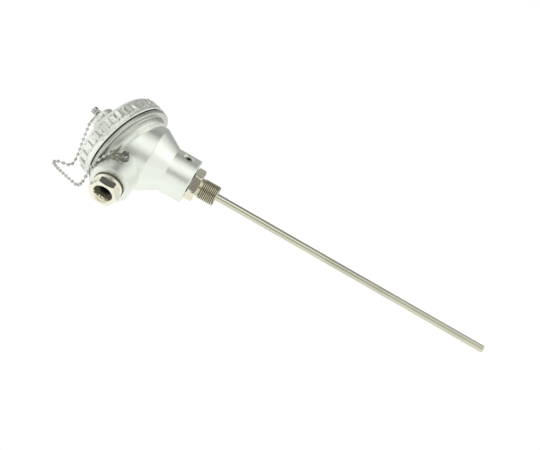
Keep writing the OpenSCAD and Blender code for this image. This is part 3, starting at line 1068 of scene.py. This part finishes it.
@dataclass
class RimSeat:
    """The gasket under the cap's rim, behind a low lip. Sizes are in millimetres.

    The gap is the height of the gasket that the lip leaves in sight, and the bulge is
    how far it swells out there; the lip is sunk in the flange, and its edges are broken.
    """

    probe: Probe
    lip_w: float = 1.1
    gap: float = 1.25
    sink: float = 0.4
    inner_w: float = 6.0
    edge_in: float = 0.3
    outer_break: float = 0.25
    inner_break: float = 0.2
    bulge: float = 0.3
    steps: int = 180

    def build(self, lip_finish: bpy.types.Material, rubber: bpy.types.Material) -> list:
        """Makes the lip, and the gasket in place of its plain node.

        Args:
            lip_finish: The body's finish.
            rubber: The gasket's finish.

        Returns:
            The two pieces.
        """
        rim = self.probe.rim
        points = [Vector(v.co) - rim.point for v in self.probe.nodes["cap_gasket"].data.vertices]
        heights = [point.dot(rim.way) / MM for point in points]
        low, high = min(heights), max(heights)
        reach = max((point - rim.way * point.dot(rim.way)).length for point in points) / MM
        edge = reach - self.edge_in
        where = axes(rim.point, self.probe.gland.way, rim.way)
        top, inner = high - self.gap, edge - self.lip_w
        foot, bore = low - self.sink, edge - self.inner_w
        lip = turned("rim_lip", [
            (inner, foot), (edge, foot), (edge, top - self.outer_break),
            (edge - self.outer_break, top), (inner + self.inner_break, top),
            (inner, top - self.inner_break), (inner, foot),
        ], self.steps)
        gasket = turned("rim_gasket", [
            (bore, low), (inner, low), (inner, top), (inner + self.bulge, (top + high) / 2),
            (inner, high), (bore, high), (bore, low),
        ], self.steps)
        for piece, finish, slot in ((lip, lip_finish, Slot.BODY), (gasket, rubber, Slot.RUBBER)):
            place(piece, where)
            smooth(piece, 50.0)
            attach(piece, "housing")
            dress(piece, finish)
        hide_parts("cap_gasket")
        return [lip, gasket]


# ------------------------------------------------------------------ setting


@dataclass(frozen=True)
class Lobe:
    """A brighter or darker patch of the tent: its direction, its edges and its gain."""

    towards: tuple
    edge: float
    core: float
    gain: float


@dataclass(frozen=True)
class Lamp:
    """A square soft lamp: its place and its side in metres, and its power in watts."""

    name: str
    spot: tuple
    side: float
    power: float


@dataclass
class Setting:
    """The white tent: camera, floor, world and lamps. The camera's place is in millimetres."""

    camera_at: tuple = (-7.6, -838.3, 305.0)
    look_right: tuple = (0.9138, 0.1278, 0.3854)
    look_up: tuple = (-0.4061, 0.2857, 0.8680)
    lens: float = 73.33
    sensor: float = 36.0
    clip: tuple = (0.01, 20.0)
    floor_side: float = 12.0
    paper: tuple = (0.86, 0.86, 0.82, 1.0)
    glow_colour: tuple = (1.0, 1.0, 0.995, 1.0)
    glow: float = 1.1
    glow_share: float = 0.85
    tent_colour: tuple = (1.0, 1.0, 0.985, 1.0)
    dim: float = 0.62
    lobes: tuple = (
        Lobe((-0.10, -0.50, 0.86), 0.75, 0.97, 0.34),
        Lobe((0.72, 0.18, 0.66), 0.76, 0.96, 0.48),
        Lobe((0.07, 0.77, 0.64), 0.50, 0.90, -0.28),
        Lobe((-0.70, 0.50, 0.50), 0.60, 0.95, 0.26),
        Lobe((-0.045, 0.235, 0.942), 0.915, 0.985, -0.42),
        Lobe((0.925, -0.337, 0.174), 0.80, 0.97, 0.34),
        Lobe((-0.034, -0.970, 0.242), 0.955, 0.994, -0.36),
    )
    lamps: tuple = (
        Lamp("front_lamp", (-0.2, -0.75, 0.85), 0.9, 0.6),
        Lamp("right_lamp", (0.75, -0.1, 0.6), 0.5, 0.2),
    )
    lit_point: tuple = (-0.05, 0.0, 0.02)

    def build(self) -> None:
        """Makes the camera, the floor, the world and the lamps."""
        bpy.context.scene.view_settings.view_transform = "Standard"
        self._camera()
        self._floor()
        self._world()
        self._lamps()

    def _camera(self) -> None:
        """Places the camera low in front of the probe, rolled about its own axis."""
        bpy.ops.object.camera_add()
        camera = bpy.context.object
        right, up = Vector(self.look_right), Vector(self.look_up)
        back = right.cross(up).normalized()
        up = back.cross(right).normalized()
        turn = Matrix((right.normalized(), up, back)).transposed().to_4x4()
        camera.matrix_world = Matrix.Translation(Vector(self.camera_at) * MM) @ turn
        camera.data.lens = self.lens
        camera.data.sensor_width = self.sensor
        camera.data.clip_start, camera.data.clip_end = self.clip
        bpy.context.scene.camera = camera

    def _floor(self) -> None:
        """Lays a white floor that keeps a faint shadow."""
        bpy.ops.mesh.primitive_plane_add(size=self.floor_side)
        floor = named("floor")
        material = bpy.data.materials.new("tent_white")
        material.use_nodes = True
        graph = Graph(material.node_tree)
        nodes = material.node_tree.nodes
        nodes.remove(nodes["Principled BSDF"])
        paper = graph.add("BsdfDiffuse", Color=self.paper)
        glow = graph.add("Emission", Color=self.glow_colour, Strength=self.glow)
        path = graph.add("LightPath").outputs
        seen = graph.math("MAXIMUM", path["Is Camera Ray"], path["Is Glossy Ray"])
        both = graph.add("MixShader")
        graph.put(both, 0, graph.math("MULTIPLY", seen, self.glow_share))
        graph.put(both, 1, paper.outputs[0])
        graph.put(both, 2, glow.outputs[0])
        graph.put(nodes["Material Output"], "Surface", both.outputs[0])
        floor.data.materials.append(material)

    def _world(self) -> None:
        """Hangs a pale tent with brighter and darker patches; it is plain white to the lens."""
        world = bpy.data.worlds.new("tent")
        bpy.context.scene.world = world
        world.use_nodes = True
        graph = Graph(world.node_tree)
        background = world.node_tree.nodes["Background"]
        seen = graph.add("LightPath").outputs["Is Camera Ray"]
        way = graph.add("TexCoord").outputs["Generated"]
        strength = self.dim
        for lobe in self.lobes:
            share = graph.ramp(graph.dot(way, lobe.towards), lobe.edge, lobe.core)
            strength = graph.math("MULTIPLY_ADD", share, lobe.gain, strength)
        graph.put(background, "Color", self.tent_colour)
        graph.put(background, "Strength", graph.math("MAXIMUM", strength, seen))

    def _lamps(self) -> None:
        """Hangs one large soft lamp over the lens and one to the right."""
        for lamp in self.lamps:
            bpy.ops.object.light_add(type="AREA", location=lamp.spot)
            light = named(lamp.name)
            light.data.shape = "SQUARE"
            light.data.size = lamp.side
            light.data.energy = lamp.power
            back = Vector(lamp.spot) - Vector(self.lit_point)
            turn = back.to_track_quat("Z", "Y").to_matrix().to_4x4()
            light.matrix_world = Matrix.Translation(lamp.spot) @ turn


# ------------------------------------------------------------------ main


def finishes(probe: Probe) -> dict:
    """Every finish, by the record's slot.

    Args:
        probe: The probe, for the axes that turned pieces were turned about.

    Returns:
        Slot to finish.
    """
    shaft, gland = tuple(probe.shaft.way), tuple(probe.gland.way)
    return {
        Slot.BODY: Finish(
            "body_silver", (0.90, 0.94, 0.875), (0.85, 0.89, 0.825),
            roughness=0.34, bump=0.12, depth=0.00005,
            # painted shade with some soiling in a band under the flange and round the clasp
            shade_and_dirt=(
                ShadeAndDirt(tuple(probe.rim.point), 0.0075, 0.011, 0.46, tuple(probe.rim.way)),
                ShadeAndDirt(tuple(probe.clasp), 0.004, 0.016, 0.42),
            ),
        ),
        Slot.CAP: Finish(
            "cap_silver", (0.94, 0.97, 0.91), (0.83, 0.86, 0.80),
            # the cap's line is painted shade along its battlement
            roughness=0.38, bump=0.25, depth=0.0001, line=Meander.round_cap(probe),
        ),
        Slot.RUBBER: Finish(
            "rubber", (0.018, 0.019, 0.018), (0.03, 0.03, 0.028), metallic=0.0, roughness=0.5
        ),
        Slot.STEEL: Finish(
            "turned_steel", (0.90, 0.88, 0.72), (0.78, 0.75, 0.60),
            roughness=0.14, bump=0.1, depth=0.00003, turned_about=shaft,
        ),
        Slot.GLAND: Finish(
            "nickel", (0.93, 0.91, 0.80), (0.86, 0.83, 0.70),
            roughness=0.12, bump=0.08, depth=0.00003, turned_about=gland,
        ),
        Slot.CHAIN: Finish(
            "chain_nickel", (0.68, 0.68, 0.65), (0.48, 0.47, 0.44), roughness=0.2
        ),
        Slot.SET_SCREW: Finish(
            "dull_steel", (0.30, 0.29, 0.25), (0.22, 0.21, 0.18), roughness=0.35
        ),
        Slot.CERAMIC: Finish(
            "ceramic_white", (0.80, 0.78, 0.72), (0.72, 0.70, 0.64), metallic=0.0, roughness=0.45
        ),
        Slot.CLAMP: Finish("clamp_brass", (0.70, 0.52, 0.24), (0.60, 0.44, 0.2), roughness=0.25),
        Slot.LEAD: Finish(
            "lead_red", (0.50, 0.07, 0.04), (0.42, 0.06, 0.04), metallic=0.0, roughness=0.45
        ),
        Slot.SLIP: Finish(
            "slip_ring", (0.10, 0.095, 0.066), (0.08, 0.075, 0.05), metallic=0.0, roughness=0.4
        ),
    }


def special_finishes() -> dict:
    """The finishes of the few pieces that look different from the rest of their slot."""
    return {
        "body_chain_clasp": Finish(
            "aged_wire", (0.27, 0.255, 0.20), (0.18, 0.17, 0.13), roughness=0.24
        ),
        "gland_washer": Finish(
            "washer_fibre", (0.14, 0.135, 0.10), (0.10, 0.095, 0.07), metallic=0.0, roughness=0.5
        ),
        "sheath": Finish(
            "sheath_steel", (0.66, 0.65, 0.52), (0.58, 0.57, 0.45), roughness=0.12
        ),
        "neck_set_screw": Finish(
            "point_screw", (0.52, 0.50, 0.42), (0.30, 0.29, 0.24), roughness=0.2, stain_scale=500.0
        ),
    }


def groove_shade_finish() -> Finish:
    """The painted shade at the thread's root: a dark finish on the root and lower flanks."""
    return Finish("thread_groove_shade", (0.30, 0.28, 0.21), (0.22, 0.20, 0.15), roughness=0.4)


def main() -> None:
    """Builds the scene and reports each piece."""
    logging.basicConfig(level=logging.INFO, format="%(name)s: %(message)s")
    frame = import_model()
    deselect_all()
    probe = Probe.from_frame(frame)
    effects = Effects()
    Setting().build()
    slots = {s["node"]: Slot(s["material_slot"]) for s in frame["record"]["subparts"]}
    built = {slot: finish.build(effects) for slot, finish in finishes(probe).items()}
    special = {name: finish.build(effects) for name, finish in special_finishes().items()}
    for name, node in probe.nodes.items():
        dress(node, special.get(name, built[slots[name]]))
        LOG.info("%s dressed as %s", name, slots[name].value)
    made = [
        ProcessFitting(probe).build(built[Slot.STEEL], groove_shade_finish().build(effects)),
        BallChain(probe).build(built[Slot.CHAIN]),
        ScrewedPiece(probe, "cap", "cap_casting", "screw_cap", Slot.CAP).build(built[Slot.CAP]),
        ScrewedPiece(
            probe, "gland_nut", "nut_tightened", "gland_cap", Slot.GLAND,
            line=probe.gland, turn=24.0,
        ).build(built[Slot.GLAND]),
        *RimSeat(probe).build(built[Slot.BODY], built[Slot.RUBBER]),
    ]
    for piece in made:
        LOG.info("%s made of %d faces", piece.name, len(piece.data.polygons))


if __name__ == "__main__":
    main()
